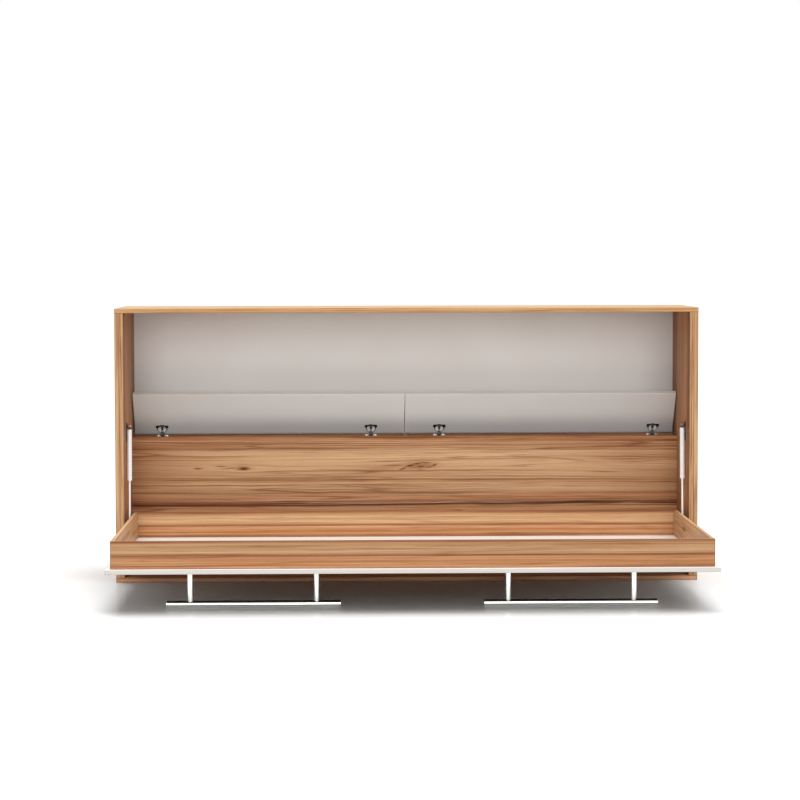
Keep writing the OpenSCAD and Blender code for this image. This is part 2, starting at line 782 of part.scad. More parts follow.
// Hinge cup sunk in the lid, with its flange and two screw wings
module hinge_cups(s) {
    xs = s < 0 ? hinges_left : hinges_right;
    t = cup_flange_t;
    round_off = cup_wall - 0.4;
    color(black_steel) opened() for (x = xs) translate([x, lid_rear - cup_set, lid_under]) difference() {
        union() {
            rotate_extrude() polygon([[0, -t], [cup_flange_d / 2, -t], [cup_flange_d / 2, 0], [cup_r, 0],
                [cup_r, cup_depth - round_off], [cup_r - round_off, cup_depth], [0, cup_depth]]);
            translate([-wing_w / 2, -wing_set - wing_d / 2, -t])
                linear_extrude(t) round_outline(wing_w, wing_d, wing_r);
        }
        translate([0, 0, -t - cut]) cylinder(r = bowl_r, h = cup_depth - cup_floor + t + cut);
        for (e = [-1, 1]) translate([e * wing_screws / 2, -wing_set, -t - cut])
            cylinder(d = hinge_screw_d, h = t + cut);
    }
}

// Link from the pin in the cup out to the arm's tip, seen from the side with the lid closed.
// Its bends are given forward of the lid's rear edge and below its underside.
link_bends = [[30, -6], [17, -1.5], [10, 4], [7, 5]];
link_pin_l = 2 * (sqrt(pow(bowl_r, 2) - pow(link_bends[0][0] - cup_set + link_pin_d / 2, 2)) - fix_clear);

module hinge_links(s) {
    xs = s < 0 ? hinges_left : hinges_right;
    side = [for (b = link_bends) [lid_rear - b[0], lid_under - b[1]]];
    color(zinc) opened() for (x = xs) translate([x, 0, 0]) {
        translate([-link_w / 2, 0, 0]) rotate([90, 0, 90]) linear_extrude(link_w) bent_strip(side, link_t);
        translate([0, side[0][0], side[0][1]]) along_x(-link_pin_l / 2, link_pin_d, link_pin_l);
    }
}

// Round-ended strip of a given width through a row of points, drawn as one outline
module bent_strip(points, w) {
    n = len(points) - 1;
    sides = [for (i = [0 : n]) w / 2 * (
        i == 0 ? square_to(points[0], points[1]) :
        i == n ? square_to(points[n - 1], points[n]) :
        mitre(points[i - 1], points[i], points[i + 1]))];
    polygon([
        for (i = [0 : n]) points[i] + sides[i],
        for (a = [-15 : -15 : -165]) points[n] + turned(sides[n], a),
        for (i = [n : -1 : 0]) points[i] - sides[i],
        for (a = [165 : -15 : 15]) points[0] + turned(sides[0], a)]);
}

// Unit vector to the left of the way from p to q, its mitre where the way bends at q, and a turned vector
function square_to(p, q) = [p[1] - q[1], q[0] - p[0]] / norm(q - p);
function mitre(p, q, r) =
    let (m = square_to(p, q) + square_to(q, r)) 2 * m / (m * m);
function turned(v, a) = [v[0] * cos(a) - v[1] * sin(a), v[0] * sin(a) + v[1] * cos(a)];

// Mounting plate with two screw wings on the hinge rail
mount_top = storage_h - mount_drop;
arm_top = mount_top - mount_wing_h;
arm_foot = arm_top - arm_l;

module hinge_plates(s) {
    xs = s < 0 ? hinges_left : hinges_right;
    color(zinc) for (x = xs) translate([x, hinge_face_y, 0]) rotate([90, 0, 0]) linear_extrude(mount_t)
        difference() {
            union() {
                translate([-mount_w / 2, arm_top]) round_outline(mount_w, mount_wing_h, wing_r);
                translate([-arm_w / 2, arm_foot]) square([arm_w, arm_l + merge]);
            }
            for (e = [-1, 1]) translate([e * mount_screws / 2, mount_top - mount_wing_h / 2])
                circle(d = hinge_screw_d);
        }
}

// Arm: a channel on the mounting plate whose two cheeks rise in a neck to the hinge's knuckle.
// The knuckle sits where the link's end comes to while the lid stands open.
arm_back = hinge_face_y - mount_t;
arm_face = arm_back - arm_depth;
knuckle = [lid_axis_y - knuckle_out, lid_axis_z - knuckle_down];
neck_root = [arm_face + neck_w / 2 + merge, arm_top - neck_w / 2];
neck_bends = [neck_root, knuckle + [5, -10], knuckle];

module hinge_arms(s) {
    xs = s < 0 ? hinges_left : hinges_right;
    color(black_steel) for (x = xs) translate([x, 0, 0]) {
        difference() {
            translate([0, 0, arm_foot]) linear_extrude(arm_l) channel();
            translate([0, arm_face + arm_t + cut, arm_foot]) rotate([90, 0, 0])
                linear_extrude(arm_t + 2 * cut) arm_cuts();
        }
        for (e = [-1, 1]) translate([e * (arm_w - arm_t) / 2 - arm_t / 2, 0, 0])
            rotate([90, 0, 90]) linear_extrude(arm_t) bent_strip(neck_bends, neck_w);
    }
}

// Section of the arm, open towards the mounting plate
module channel() {
    difference() {
        translate([-arm_w / 2, arm_face]) square([arm_w, arm_depth]);
        translate([-arm_w / 2 + arm_t, arm_face + arm_t]) square([arm_w - 2 * arm_t, arm_depth]);
    }
}

// Slot for the depth screw and hole for the side screw, measured up from the arm's foot
module arm_cuts() {
    half = (arm_slot_l - arm_slot_w) / 2;
    bent_strip([[0, arm_slot_z - half], [0, arm_slot_z + half]], arm_slot_w);
    translate([0, arm_hole_z]) circle(d = arm_hole_d);
}

top_panel();
bottom_panel();
side_outer(-1);  // side_outer_left
side_outer(1);  // side_outer_right
side_inner(-1);  // side_inner_left
side_inner(1);  // side_inner_right
back_panel();
storage_front();
storage_divider();
hinge_rail();
carcass_dowels();
lid_bumpers();
cabinet_pivot(-1);  // cabinet_pivot_left
cabinet_pivot(1);  // cabinet_pivot_right
pivot_bush(-1);  // pivot_bush_left
pivot_bush(1);  // pivot_bush_right
strut_bracket(-1);  // strut_bracket_left
strut_bracket(1);  // strut_bracket_right
strut_clip(-1);  // strut_clip_left
strut_clip(1);  // strut_clip_right
hinge_plates(-1);  // hinge_plates_left
hinge_plates(1);  // hinge_plates_right
hinge_arms(-1);  // hinge_arms_left
hinge_arms(1);  // hinge_arms_right
door_panel();
long_rail(tray_front);  // front_rail
long_rail(tray_rear - rail_t);  // rear_rail
end_rail(-1);  // end_rail_left
end_rail(1);  // end_rail_right
tray_dowels();
bed_pivot(-1);  // bed_pivot_left
bed_pivot(1);  // bed_pivot_right
pivot_pin(-1);  // pivot_pin_left
pivot_pin(1);  // pivot_pin_right
strut_stud(-1);  // strut_stud_left
strut_stud(1);  // strut_stud_right
leg_bar(-1);  // leg_bar_left
leg_bar(1);  // leg_bar_right
leg_post(0);  // leg_post_left_outer
leg_post(1);  // leg_post_left_inner
leg_post(2);  // leg_post_right_inner
leg_post(3);  // leg_post_right_outer
leg_caps();
leg_bolts();
strut_cylinder(-1);  // strut_cylinder_left
strut_cylinder(1);  // strut_cylinder_right
strut_guide(-1);  // strut_guide_left
strut_guide(1);  // strut_guide_right
strut_rod(-1);  // strut_rod_left
strut_rod(1);  // strut_rod_right
strut_piston(-1);  // strut_piston_left
strut_piston(1);  // strut_piston_right
lid(-1);  // lid_left
lid(1);  // lid_right
hinge_cups(-1);  // hinge_cups_left
hinge_cups(1);  // hinge_cups_right
hinge_links(-1);  // hinge_links_left
hinge_links(1);  // hinge_links_right
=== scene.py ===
import math

import bpy
from mathutils import Matrix, Vector


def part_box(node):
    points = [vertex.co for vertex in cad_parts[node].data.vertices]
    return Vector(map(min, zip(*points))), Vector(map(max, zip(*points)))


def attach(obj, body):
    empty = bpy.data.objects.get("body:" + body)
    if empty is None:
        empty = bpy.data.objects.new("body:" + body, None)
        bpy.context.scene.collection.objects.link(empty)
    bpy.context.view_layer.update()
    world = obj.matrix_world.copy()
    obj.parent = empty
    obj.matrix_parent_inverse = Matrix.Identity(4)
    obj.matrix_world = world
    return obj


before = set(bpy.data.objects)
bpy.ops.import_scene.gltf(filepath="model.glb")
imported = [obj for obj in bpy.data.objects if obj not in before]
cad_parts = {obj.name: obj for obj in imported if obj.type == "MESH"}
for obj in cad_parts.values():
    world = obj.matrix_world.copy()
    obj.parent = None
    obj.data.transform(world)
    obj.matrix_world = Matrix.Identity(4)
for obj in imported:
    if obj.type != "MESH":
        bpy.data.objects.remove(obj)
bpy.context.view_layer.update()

# Double sides: two 16 mm chipboards screwed together at each end of the cabinet.
# They are faced with melamine paper printed with a striped fruitwood, grain upright,
# and edged with the same decor, so that each board's glued edge shows as a fine line.
X, Y, Z = 0, 1, 2
TONES = {
    "peach": "e2a67e",
    "gold": "c99c6a",
    "cream": "d0a880",
    "straw": "c69d74",
    "tan": "bd936b",
    "honey": "af835c",
    "amber": "c98c5e",
    "copper": "c0895f",
    "cherry": "b37c51",
    "rust": "a16f4b",
    "umber": "8b593b",
    "bark": "673a22",
}


def to_linear(hex_code):
    """An sRGB hex colour as the linear colour that a shader takes."""
    parts = [int(hex_code[i : i + 2], 16) / 255 for i in (0, 2, 4)]
    return (*[c / 12.92 if c <= 0.04045 else ((c + 0.055) / 1.055) ** 2.4 for c in parts], 1.0)


def add_node(tree, kind, settings=None, feeds=None):
    """Adds a node. settings are its own choices, and feeds are values, nodes or sockets for its inputs."""
    node = tree.nodes.new(kind)
    for key, value in (settings or {}).items():
        setattr(node, key, value)
    for key, value in (feeds or {}).items():
        if isinstance(value, bpy.types.Node):
            value = value.outputs[0]
        if isinstance(value, bpy.types.NodeSocket):
            tree.links.new(value, node.inputs[key])
        else:
            node.inputs[key].default_value = value
    return node


def maths(tree, operation, *values):
    """A Math node on one to three values or sockets."""
    return add_node(tree, "ShaderNodeMath", {"operation": operation}, dict(enumerate(values)))


def remap(tree, value, low, high, to_low, to_high, curve="LINEAR"):
    """A Map Range node that turns low into to_low and high into to_high."""
    feeds = {0: value, 1: low, 2: high, 3: to_low, 4: to_high}
    return add_node(tree, "ShaderNodeMapRange", {"interpolation_type": curve}, feeds)


def vectors(tree, operation, *values):
    """A Vector Math node's result, which for some operations is a number."""
    node = add_node(tree, "ShaderNodeVectorMath", {"operation": operation}, dict(enumerate(values)))
    return node.outputs["Value" if operation in ("DOT_PRODUCT", "LENGTH", "DISTANCE") else "Vector"]


def cloud(tree, place, scale, detail, rough=0.5):
    """Noise from 0 to 1."""
    feeds = {"Vector": place, "Scale": scale, "Detail": detail, "Roughness": rough}
    return add_node(tree, "ShaderNodeTexNoise", None, feeds).outputs["Fac"]


def blend(tree, share, first, second, way="MIX"):
    """Two colours mixed by the share of the second."""
    settings = {"data_type": "RGBA", "blend_type": way}
    return add_node(tree, "ShaderNodeMix", settings, {0: share, 6: first, 7: second}).outputs[2]


def surface(tree, feeds):
    """The material's Principled shader and its output."""
    shader = add_node(tree, "ShaderNodeBsdfPrincipled", None, feeds)
    add_node(tree, "ShaderNodeOutputMaterial", None, {"Surface": shader})


def new_material(name):
    """An empty node material, its tree and its Object coordinates in millimetres."""
    material = bpy.data.materials.new(name)
    material.use_nodes = True
    tree = material.node_tree
    tree.nodes.clear()
    here = add_node(tree, "ShaderNodeTexCoord").outputs["Object"]
    mm = add_node(tree, "ShaderNodeVectorMath", {"operation": "SCALE"}, {0: here, "Scale": 1000.0})
    return material, tree, mm


def dress(material, *names):
    """Gives CAD nodes their material."""
    for name in names:
        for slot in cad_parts[name].material_slots:
            slot.material = material


def edge_line(tree, mm, node, inner=1.3, outer=2.3):
    """1 within inner mm of a board's arrises, where its edge band is glued on, and 0 beyond outer mm."""
    low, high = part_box(node)
    from_low = vectors(tree, "SUBTRACT", mm, [1000 * c for c in low])
    from_high = vectors(tree, "SUBTRACT", [1000 * c for c in high], mm)
    nearest = vectors(tree, "MINIMUM", from_low, from_high)
    d = add_node(tree, "ShaderNodeSeparateXYZ", None, {0: nearest}).outputs
    small = maths(tree, "MINIMUM", d[0], d[1])
    large = maths(tree, "MAXIMUM", d[0], d[1])
    middle = maths(tree, "MINIMUM", large, d[2])
    middle = maths(tree, "MAXIMUM", small, middle)
    return remap(tree, middle, inner, outer, 1.0, 0.0, "SMOOTHSTEP")


def fruitwood(
    node, grain, across, bands, seed, knots=(), wander=7.0, figure=1.0, veins=0.55, seam=0.65, gloss=0.1
):
    """Melamine board printed with striped fruitwood. bands are (mm across the board, tone). The stripes
    wander by some millimetres, carry fine streaks and dark veins, and part around each knot or stain,
    given as (mm along, mm across, half length, half width, darkness, how far the stripes part, slant)."""
    material, tree, mm = new_material("melamine_fruitwood_" + node)
    axis = add_node(tree, "ShaderNodeSeparateXYZ", None, {0: mm}).outputs
    along, over, through = axis[grain], axis[across], axis[3 - grain - across]
    flat = add_node(tree, "ShaderNodeCombineXYZ", None, {0: along, 1: over, 2: through})

    def noise(space, long, wide, shift, detail=2.0, rough=0.5):
        """Noise drawn out along the grain: its features are about long by wide millimetres."""
        squeeze = (1 / long, 1 / wide, 1 / wide)
        start = (seed * 3.7 + shift, seed * 1.9 - shift, seed + shift * 2)
        return cloud(tree, vectors(tree, "MULTIPLY_ADD", space, squeeze, start), 1.0, detail, rough)

    # The stripes' slow wander, and a shorter ripple in it
    for long, wide, reach, shift in ((700.0, 120.0, wander, 0.0), (170.0, 40.0, wander * 0.22, 5.0)):
        sway = maths(tree, "SUBTRACT", noise(flat, long, wide, shift), 0.5)
        over = maths(tree, "MULTIPLY_ADD", sway, 2 * reach, over)

    # Knots: the stripes spread around each one, and its eye is dark with rings
    eyes = None
    for at_long, at_wide, half_long, half_wide, dark, part, slant in knots:
        dx = maths(tree, "SUBTRACT", along, at_long)
        dy = maths(tree, "SUBTRACT", over, at_wide)
        dy = maths(tree, "MULTIPLY_ADD", dx, -slant, dy)
        offset = add_node(tree, "ShaderNodeCombineXYZ", None, {0: dx, 1: dy})
        scaled = vectors(tree, "MULTIPLY", offset, (1 / half_long, 1 / half_wide, 0))
        squared = vectors(tree, "DOT_PRODUCT", scaled, scaled)
        wide = maths(tree, "MULTIPLY", squared, -0.12)
        wide = maths(tree, "EXPONENT", wide)
        pull = maths(tree, "MULTIPLY", wide, dy)
        over = maths(tree, "MULTIPLY_ADD", pull, -part, over)
        eye = maths(tree, "MULTIPLY", squared, -1.0)
        eye = maths(tree, "EXPONENT", eye)
        eye = maths(tree, "MULTIPLY", eye, dark)
        eyes = eye if eyes is None else maths(tree, "MAXIMUM", eyes, eye)
    drawn = add_node(tree, "ShaderNodeCombineXYZ", None, {0: along, 1: over, 2: through})

    # Bands across the board, then streaks at four scales, strong in some places and calm in
    # others; the dark ones are printed over the ground, so they multiply
    first, last = bands[0][0], bands[-1][0]
    share = remap(tree, over, first, last, 0.0, 1.0)
    ramp = add_node(tree, "ShaderNodeValToRGB", None, {0: share})
    stops = ramp.color_ramp.elements
    while len(stops) < len(bands):
        stops.new(0.5)
    for stop, (height, tone) in zip(stops, bands):
        stop.position = (height - first) / (last - first)
        stop.color = to_linear(TONES[tone])
    streaks = None
    for long, wide, weight, shift, detail in (
        (1700.0, 24.0, 0.9, 11.0, 3.0),
        (1500.0, 7.0, 1.2, 17.0, 2.0),
        (800.0, 3.4, 1.0, 29.0, 1.0),
        (120.0, 2.2, 0.5, 23.0, 1.0),
    ):
        fine = noise(drawn, long, wide, shift, detail, 0.6)
        layer = maths(tree, "SUBTRACT", fine, 0.5)
        calm = remap(tree, noise(drawn, 500.0, 42.0, shift + 3, 1.0), 0.36, 0.62, 0.35, 1.25)
        layer = maths(tree, "MULTIPLY", layer, calm)
        layer = maths(tree, "MULTIPLY", layer, weight * figure)
        streaks = layer if streaks is None else maths(tree, "ADD", streaks, layer)
    colour = ramp.outputs["Color"]
    for way, tone, far, most in (("MULTIPLY", "bf9f88", -0.42, 1.0), ("MIX", "d8b08a", 0.42, 0.7)):
        much = remap(tree, streaks, 0.0, far, 0.0, most)
        colour = blend(tree, much, colour, to_linear(tone), way)

    # Dark veins, a millimetre or two wide, that fade in and out along the grain
    for long, wide, thin, shift, most in (
        (1300.0, 30.0, 0.03, 31.0, veins), (650.0, 16.0, 0.035, 53.0, veins * 0.7)
    ):
        ridge = maths(tree, "SUBTRACT", noise(drawn, long, wide, shift, 1.0), 0.52)
        ridge = maths(tree, "ABSOLUTE", ridge)
        ridge = remap(tree, ridge, 0.0, thin, 1.0, 0.0)
        fade = remap(tree, noise(drawn, 420.0, 60.0, shift + 6), 0.42, 0.6, 0.0, most)
        vein = maths(tree, "MULTIPLY", ridge, fade)
        colour = blend(tree, vein, colour, to_linear("9c7660"), "MULTIPLY")
    if eyes:
        deep = maths(tree, "POWER", eyes, 2.5)
        for much, tone in ((eyes, "8a4c22"), (deep, "56280f")):
            colour = blend(tree, much, colour, to_linear(tone))

    # Pores: the press plate stamps them as dashes 20 mm long and under 1 mm wide, and the print darkens them
    pores = remap(tree, noise(drawn, 22.0, 0.9, 41.0), 0.6, 0.72, 0.0, 1.0)
    shade = maths(tree, "MULTIPLY", pores, 0.28)
    colour = blend(tree, shade, colour, to_linear(TONES["bark"]))
    line = maths(tree, "MULTIPLY", edge_line(tree, mm, node, 1.2, 3.0), seam)
    colour = blend(tree, line, colour, to_linear("7a5034"))

    rough = remap(tree, fine, 0.3, 0.7, 0.36, 0.48)
    height = maths(tree, "SUBTRACT", fine, pores)
    bump = add_node(tree, "ShaderNodeBump", None, {"Strength": 0.25, "Distance": 0.0002, "Height": height})
    feeds = {"Base Color": colour, "Roughness": rough, "Normal": bump}
    surface(tree, {**feeds, "IOR": 1.5, "Specular IOR Level": gloss})
    dress(material, node)


# Each board's stripes, from its front edge to its rear edge
outer_side = [
    (-236, "straw"), (-228, "straw"), (-200, "tan"), (-150, "rust"), (-90, "straw"), (-20, "honey"),
    (40, "tan"), (110, "umber"), (150, "straw"), (200, "honey"), (236, "tan"),
]
inner_side = [
    (-236, "straw"), (-231, "honey"), (-226, "umber"), (-190, "umber"), (-160, "copper"), (-110, "amber"),
    (-60, "amber"), (-20, "copper"), (30, "copper"), (90, "honey"), (140, "rust"), (180, "umber"),
    (236, "umber"),
]
for hand, seed in (("left", 1.0), ("right", 4.0)):
    fruitwood("side_outer_" + hand, Z, Y, outer_side, seed, seam=0.3)
    fruitwood("side_inner_" + hand, Z, Y, inner_side, seed + 1.3, seam=0.42, gloss=0.05)

# Top and bottom panels: single 16 mm boards of the same melamine, their grain along the cabinet.
# The top lies over the sides, and the bottom runs between them and carries the sides on dowels.
top_bands = [
    (-236, "gold"), (-222, "gold"), (-90, "straw"), (-20, "gold"), (60, "straw"), (150, "gold"), (236, "tan"),
]
bottom_bands = [(-236, "peach"), (-215, "copper"), (-60, "tan"), (30, "rust"), (120, "honey"), (236, "umber")]
fruitwood("top_panel", X, Y, top_bands, 8.0, seam=0.3)
fruitwood("bottom_panel", X, Y, bottom_bands, 9.0)


# Back panel: an 8 mm board faced with plain warm grey melamine, held in between the sides.
# Plain melamine has the press plate's fine pebble, which softens its gloss.
def plain_melamine(
    name, node, colour, dark, line_colour, rough=0.42, pebble=0.12, edge_colour=None, under_colour=None
):
    """Plain melamine: a pebble of about 0.7 mm, a faint cloud in the colour, and a line in line_colour along
    the arrises: the edge band's dark glue line on most boards, and a pale painted highlight on the lids.
    edge_colour and under_colour are for a flat board's edge bands and lower face."""
    material, tree, mm = new_material(name)
    haze = cloud(tree, mm, 0.004, 1.0)
    pebbles = cloud(tree, mm, 1.4, 1.0)
    much = remap(tree, haze, 0.2, 0.8, 0.0, 0.6)
    shade = blend(tree, much, to_linear(colour), to_linear(dark))
    if edge_colour:
        turned = add_node(tree, "ShaderNodeTexCoord").outputs["Normal"]
        turned = add_node(tree, "ShaderNodeSeparateXYZ", None, {0: turned}).outputs["Z"]
        for limit, tone in ((0.4, edge_colour), (-0.4, under_colour)):
            below = maths(tree, "LESS_THAN", turned, limit)
            shade = blend(tree, below, shade, to_linear(tone))
    # the line along the arrises: a dark glue line, and on the lids a pale painted highlight
    line = maths(tree, "MULTIPLY", edge_line(tree, mm, node), 0.6)
    shade = blend(tree, line, shade, to_linear(line_colour))
    gloss = remap(tree, haze, 0.2, 0.8, rough - 0.04, rough + 0.04)
    bump = add_node(tree, "ShaderNodeBump", None, {"Strength": pebble, "Distance": 0.0002, "Height": pebbles})
    surface(tree, {"Base Color": shade, "Roughness": gloss, "Normal": bump, "IOR": 1.5})
    dress(material, node)


plain_melamine("melamine_grey_back", "back_panel", "e6e5e3", "e0dfdc", "c9c4be")

# Storage front, divider and hinge rail: 16 mm fruitwood boards that make the bedding box behind the bed.
# The front board is the one that shows most: pale in its upper half, red brown along its top,
# with two dark stripes low down, a row of small knots and one flame-shaped figure.
front_bands = [
    (16, "rust"), (120, "honey"), (200, "copper"), (239, "copper"), (244, "honey"), (247, "rust"),
    (250, "bark"), (257, "bark"), (262, "umber"), (266, "rust"), (272, "rust"), (277, "copper"),
    (288, "copper"), (294, "rust"), (300, "honey"), (306, "tan"), (313, "straw"), (331, "straw"),
    (338, "tan"), (344, "honey"), (352, "tan"), (385, "tan"), (400, "straw"), (429, "straw"), (433, "cream"),
    (438, "straw"), (456, "straw"), (461, "honey"), (466, "umber"), (471, "rust"), (478, "honey"),
    (512, "rust"),
]
# A row of small knots on the left, a smear under it, the flame figure right of the middle, the darker ends
front_knots = [
    (-788, 393, 18, 3.6, 0.9, 0.8, 0), (-702, 403, 28, 3.2, 0.7, 0.8, 0), (-660, 397, 50, 3.5, 0.55, 0.4, 0),
    (-614, 394, 26, 6.5, 1.0, 0.8, 0), (20, 399, 22, 4.8, 1.0, 0.3, 0.15), (46, 405, 24, 4.0, 0.85, 0.1, 0.1),
    (76, 409, 32, 3.4, 0.75, 0.1, 0), (111, 401, 13, 6.0, 0.8, 0.1, 0.3), (92, 394, 22, 4.2, 0.75, 0.1, 0.2),
    (60, 396, 22, 5.5, 0.85, 0.1, 0), (-9, 389, 18, 4.4, 0.75, 0.1, 0.25), (58, 385, 20, 3.6, 0.5, 0.1, 0),
    (-42, 399, 42, 3.6, 0.5, 0.1, 0), (58, 398, 64, 13, 0.55, 0, 0.06), (-90, 388, 90, 9, 0.3, 0, 0),
    (-170, 347, 70, 3.4, 0.65, 0.3, 0), (-70, 352, 40, 2.6, 0.5, 0.2, 0), (486, 415, 60, 5, 0.2, 0.5, 0),
    (-1010, 400, 230, 150, 0.36, 0, 0), (-900, 285, 330, 45, 0.34, 0, 0), (860, 440, 170, 80, 0.25, 0, 0),
    (960, 330, 240, 90, 0.27, 0, 0), (760, 375, 70, 3.0, 0.6, 0.3, 0),
]
fruitwood("storage_front", X, Z, front_bands, 12.0, front_knots, wander=9.0, figure=1.1, veins=0.7)
fruitwood("hinge_rail", X, Z, [(432, "umber"), (470, "rust"), (512, "rust")], 15.0)
fruitwood("storage_divider", Z, Y, [(100, "rust"), (140, "umber"), (180, "rust"), (212, "umber")], 17.0)


# Lid bumpers and dowels: clear PVC pads on the front board's top edge, which take its colour,
# and ribbed beech dowels in the joints.
def plain_finish(name, colour, dark, grain_mm, rough, metal=0.0, bump_depth=0.0):
    """A finish whose colour clouds slightly at the scale of its grain, and whose roughness follows that."""
    material, tree, mm = new_material(name)
    spots = cloud(tree, mm, 1 / grain_mm, 3.0)
    much = remap(tree, spots, 0.35, 0.65, 0.0, 1.0)
    shade = blend(tree, much, to_linear(colour), to_linear(dark))
    gloss = remap(tree, spots, 0.3, 0.7, rough * 0.8, rough * 1.2)
    feeds = {"Base Color": shade, "Roughness": gloss, "Metallic": metal}
    if bump_depth:
        grain = {"Strength": 0.3, "Distance": bump_depth, "Height": spots}
        feeds["Normal"] = add_node(tree, "ShaderNodeBump", None, grain)
    surface(tree, feeds)
    return material


soft_pvc = plain_finish("clear_pvc_on_wood", "9a6a48", "8e6040", 3.0, 0.35)
beech = plain_finish("turned_beech", "d8b184", "c39a6c", 0.8, 0.6, bump_depth=0.0003)
dress(soft_pvc, "lid_bumpers")
dress(beech, "carcass_dowels", "tray_dowels")

# Pivots: a black powder-coated steel plate with a boss on each side of the cabinet, a plain nylon
# flanged bush in it, and on the tray a second plate whose boss holds the ground steel pin.
# The plates are screwed on with countersunk zinc-plated screws.
black_steel = plain_finish("powder_coated_steel", "1b1b1c", "232324", 0.5, 0.38, bump_depth=0.0001)
nylon = plain_finish("moulded_nylon", "e6e2d8", "dcd7cb", 1.2, 0.45, bump_depth=0.00005)
ground_steel = plain_finish("ground_steel", "c9c9c8", "b4b4b3", 0.6, 0.22, metal=1.0)
zinc = plain_finish("zinc_plated_steel", "cfcec8", "c2c1b9", 1.6, 0.28, metal=1.0)
dress(black_steel, "cabinet_pivot_left", "cabinet_pivot_right", "bed_pivot_left", "bed_pivot_right")
dress(nylon, "pivot_bush_left", "pivot_bush_right")
dress(ground_steel, "pivot_pin_left", "pivot_pin_right")


def screw_tree():
    """Geometry Nodes that set a cross-recessed screw head on each point, each turned at random."""
    tree = bpy.data.node_groups.new("screw_heads", "GeometryNodeTree")
    face = tree.interface
    face.new_socket("Geometry", in_out="INPUT", socket_type="NodeSocketGeometry")
    for name in ("Head radius", "Head height", "Recess width"):
        face.new_socket(name, in_out="INPUT", socket_type="NodeSocketFloat")
    face.new_socket("Facing", in_out="INPUT", socket_type="NodeSocketVector")
    face.new_socket("Seed", in_out="INPUT", socket_type="NodeSocketInt")
    face.new_socket("Finish", in_out="INPUT", socket_type="NodeSocketMaterial")
    face.new_socket("Geometry", in_out="OUTPUT", socket_type="NodeSocketGeometry")
    given = add_node(tree, "NodeGroupInput").outputs
    radius, tall, slot_w = given["Head radius"], given["Head height"], given["Recess width"]

    # The head: a short disc whose top face is raised into a dome
    rim = maths(tree, "MULTIPLY", tall, 0.45)
    feeds = {"Vertices": 24, "Fill Segments": 4, "Radius": radius, "Depth": rim}
    disc = add_node(tree, "GeometryNodeMeshCylinder", {"fill_type": "TRIANGLE_FAN"}, feeds).outputs["Mesh"]
    half = maths(tree, "MULTIPLY", rim, 0.5)
    lift = add_node(tree, "ShaderNodeCombineXYZ", None, {"Z": half})
    disc = add_node(tree, "GeometryNodeTransform", None, {"Geometry": disc, "Translation": lift})
    spot = add_node(tree, "GeometryNodeInputPosition")
    flat = vectors(tree, "MULTIPLY", spot, (1, 1, 0))
    out = vectors(tree, "LENGTH", flat)
    out = maths(tree, "DIVIDE", out, radius)
    out = maths(tree, "POWER", out, 2.0)
    out = maths(tree, "SUBTRACT", 1.0, out)
    dome = maths(tree, "SUBTRACT", tall, rim)
    dome = maths(tree, "MULTIPLY", dome, out)
    raised = add_node(tree, "ShaderNodeCombineXYZ", None, {"Z": dome})
    height = add_node(tree, "ShaderNodeSeparateXYZ", None, {0: spot}).outputs["Z"]
    over = {"data_type": "FLOAT", "operation": "GREATER_THAN"}
    is_top = add_node(tree, "FunctionNodeCompare", over, {0: height, 1: half})
    feeds = {"Geometry": disc, "Selection": is_top, "Offset": raised}
    head = add_node(tree, "GeometryNodeSetPosition", None, feeds)

    # The cross recess: two bars cut from the dome
    long = maths(tree, "MULTIPLY", slot_w, 4.2)
    deep = maths(tree, "MULTIPLY", tall, 1.1)
    top = add_node(tree, "ShaderNodeCombineXYZ", None, {"Z": tall})
    cut = {"operation": "DIFFERENCE", "solver": "EXACT"}
    for first, second in ((slot_w, long), (long, slot_w)):
        size = add_node(tree, "ShaderNodeCombineXYZ", None, {0: first, 1: second, 2: deep})
        bar = add_node(tree, "GeometryNodeMeshCube", None, {"Size": size}).outputs["Mesh"]
        bar = add_node(tree, "GeometryNodeTransform", None, {"Geometry": bar, "Translation": top})
        head = add_node(tree, "GeometryNodeMeshBoolean", cut, {0: head, 1: bar})

    # One head on each point, turned at random about its own axis and aimed out of the board
    chance = {2: 0.0, 3: math.pi / 2, "Seed": given["Seed"]}
    turn = add_node(tree, "FunctionNodeRandomValue", {"data_type": "FLOAT"}, chance).outputs[1]
    spin = add_node(tree, "FunctionNodeAxisAngleToRotation", None, {"Axis": (0, 0, 1), "Angle": turn})
    aim = add_node(tree, "FunctionNodeAlignRotationToVector", {"axis": "Z"}, {"Vector": given["Facing"]})
    aim = add_node(tree, "FunctionNodeRotateRotation", {"rotation_space": "LOCAL"}, {0: aim, 1: spin})
    feeds = {"Points": given["Geometry"], "Instance": head, "Rotation": aim}
    heads = add_node(tree, "GeometryNodeInstanceOnPoints", None, feeds)
    heads = add_node(tree, "GeometryNodeRealizeInstances", None, {0: heads})
    heads = add_node(tree, "GeometryNodeSetMaterial", None, {"Geometry": heads, "Material": given["Finish"]})
    add_node(tree, "NodeGroupOutput", None, {"Geometry": heads})
    return tree


SCREWS = screw_tree()


def screws(name, body, finish, places, facing, head_d, head_h, recess, seed):
    """Screw heads at places, in mm, as one plain mesh that rides on body."""
    points = bpy.data.meshes.new(name + "_points")
    points.from_pydata([Vector(p) / 1000 for p in places], [], [])
    holder = bpy.data.objects.new(name + "_points", points)
    bpy.context.scene.collection.objects.link(holder)
    modifier = holder.modifiers.new("heads", "NODES")
    modifier.node_group = SCREWS
    values = {
        "Head radius": head_d / 2000,
        "Head height": head_h / 1000,
        "Recess width": recess / 1000,
        "Facing": Vector(facing).normalized(),
        "Seed": seed,
        "Finish": finish,
    }
    for socket in SCREWS.interface.items_tree:
        if socket.item_type == "SOCKET" and socket.name in values:
            modifier[socket.identifier] = values[socket.name]
    graph = bpy.context.evaluated_depsgraph_get()
    mesh = bpy.data.meshes.new_from_object(holder.evaluated_get(graph))
    mesh.name = name
    bpy.data.objects.remove(holder)
    piece = bpy.data.objects.new(name, mesh)
    bpy.context.scene.collection.objects.link(piece)
    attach(piece, body)


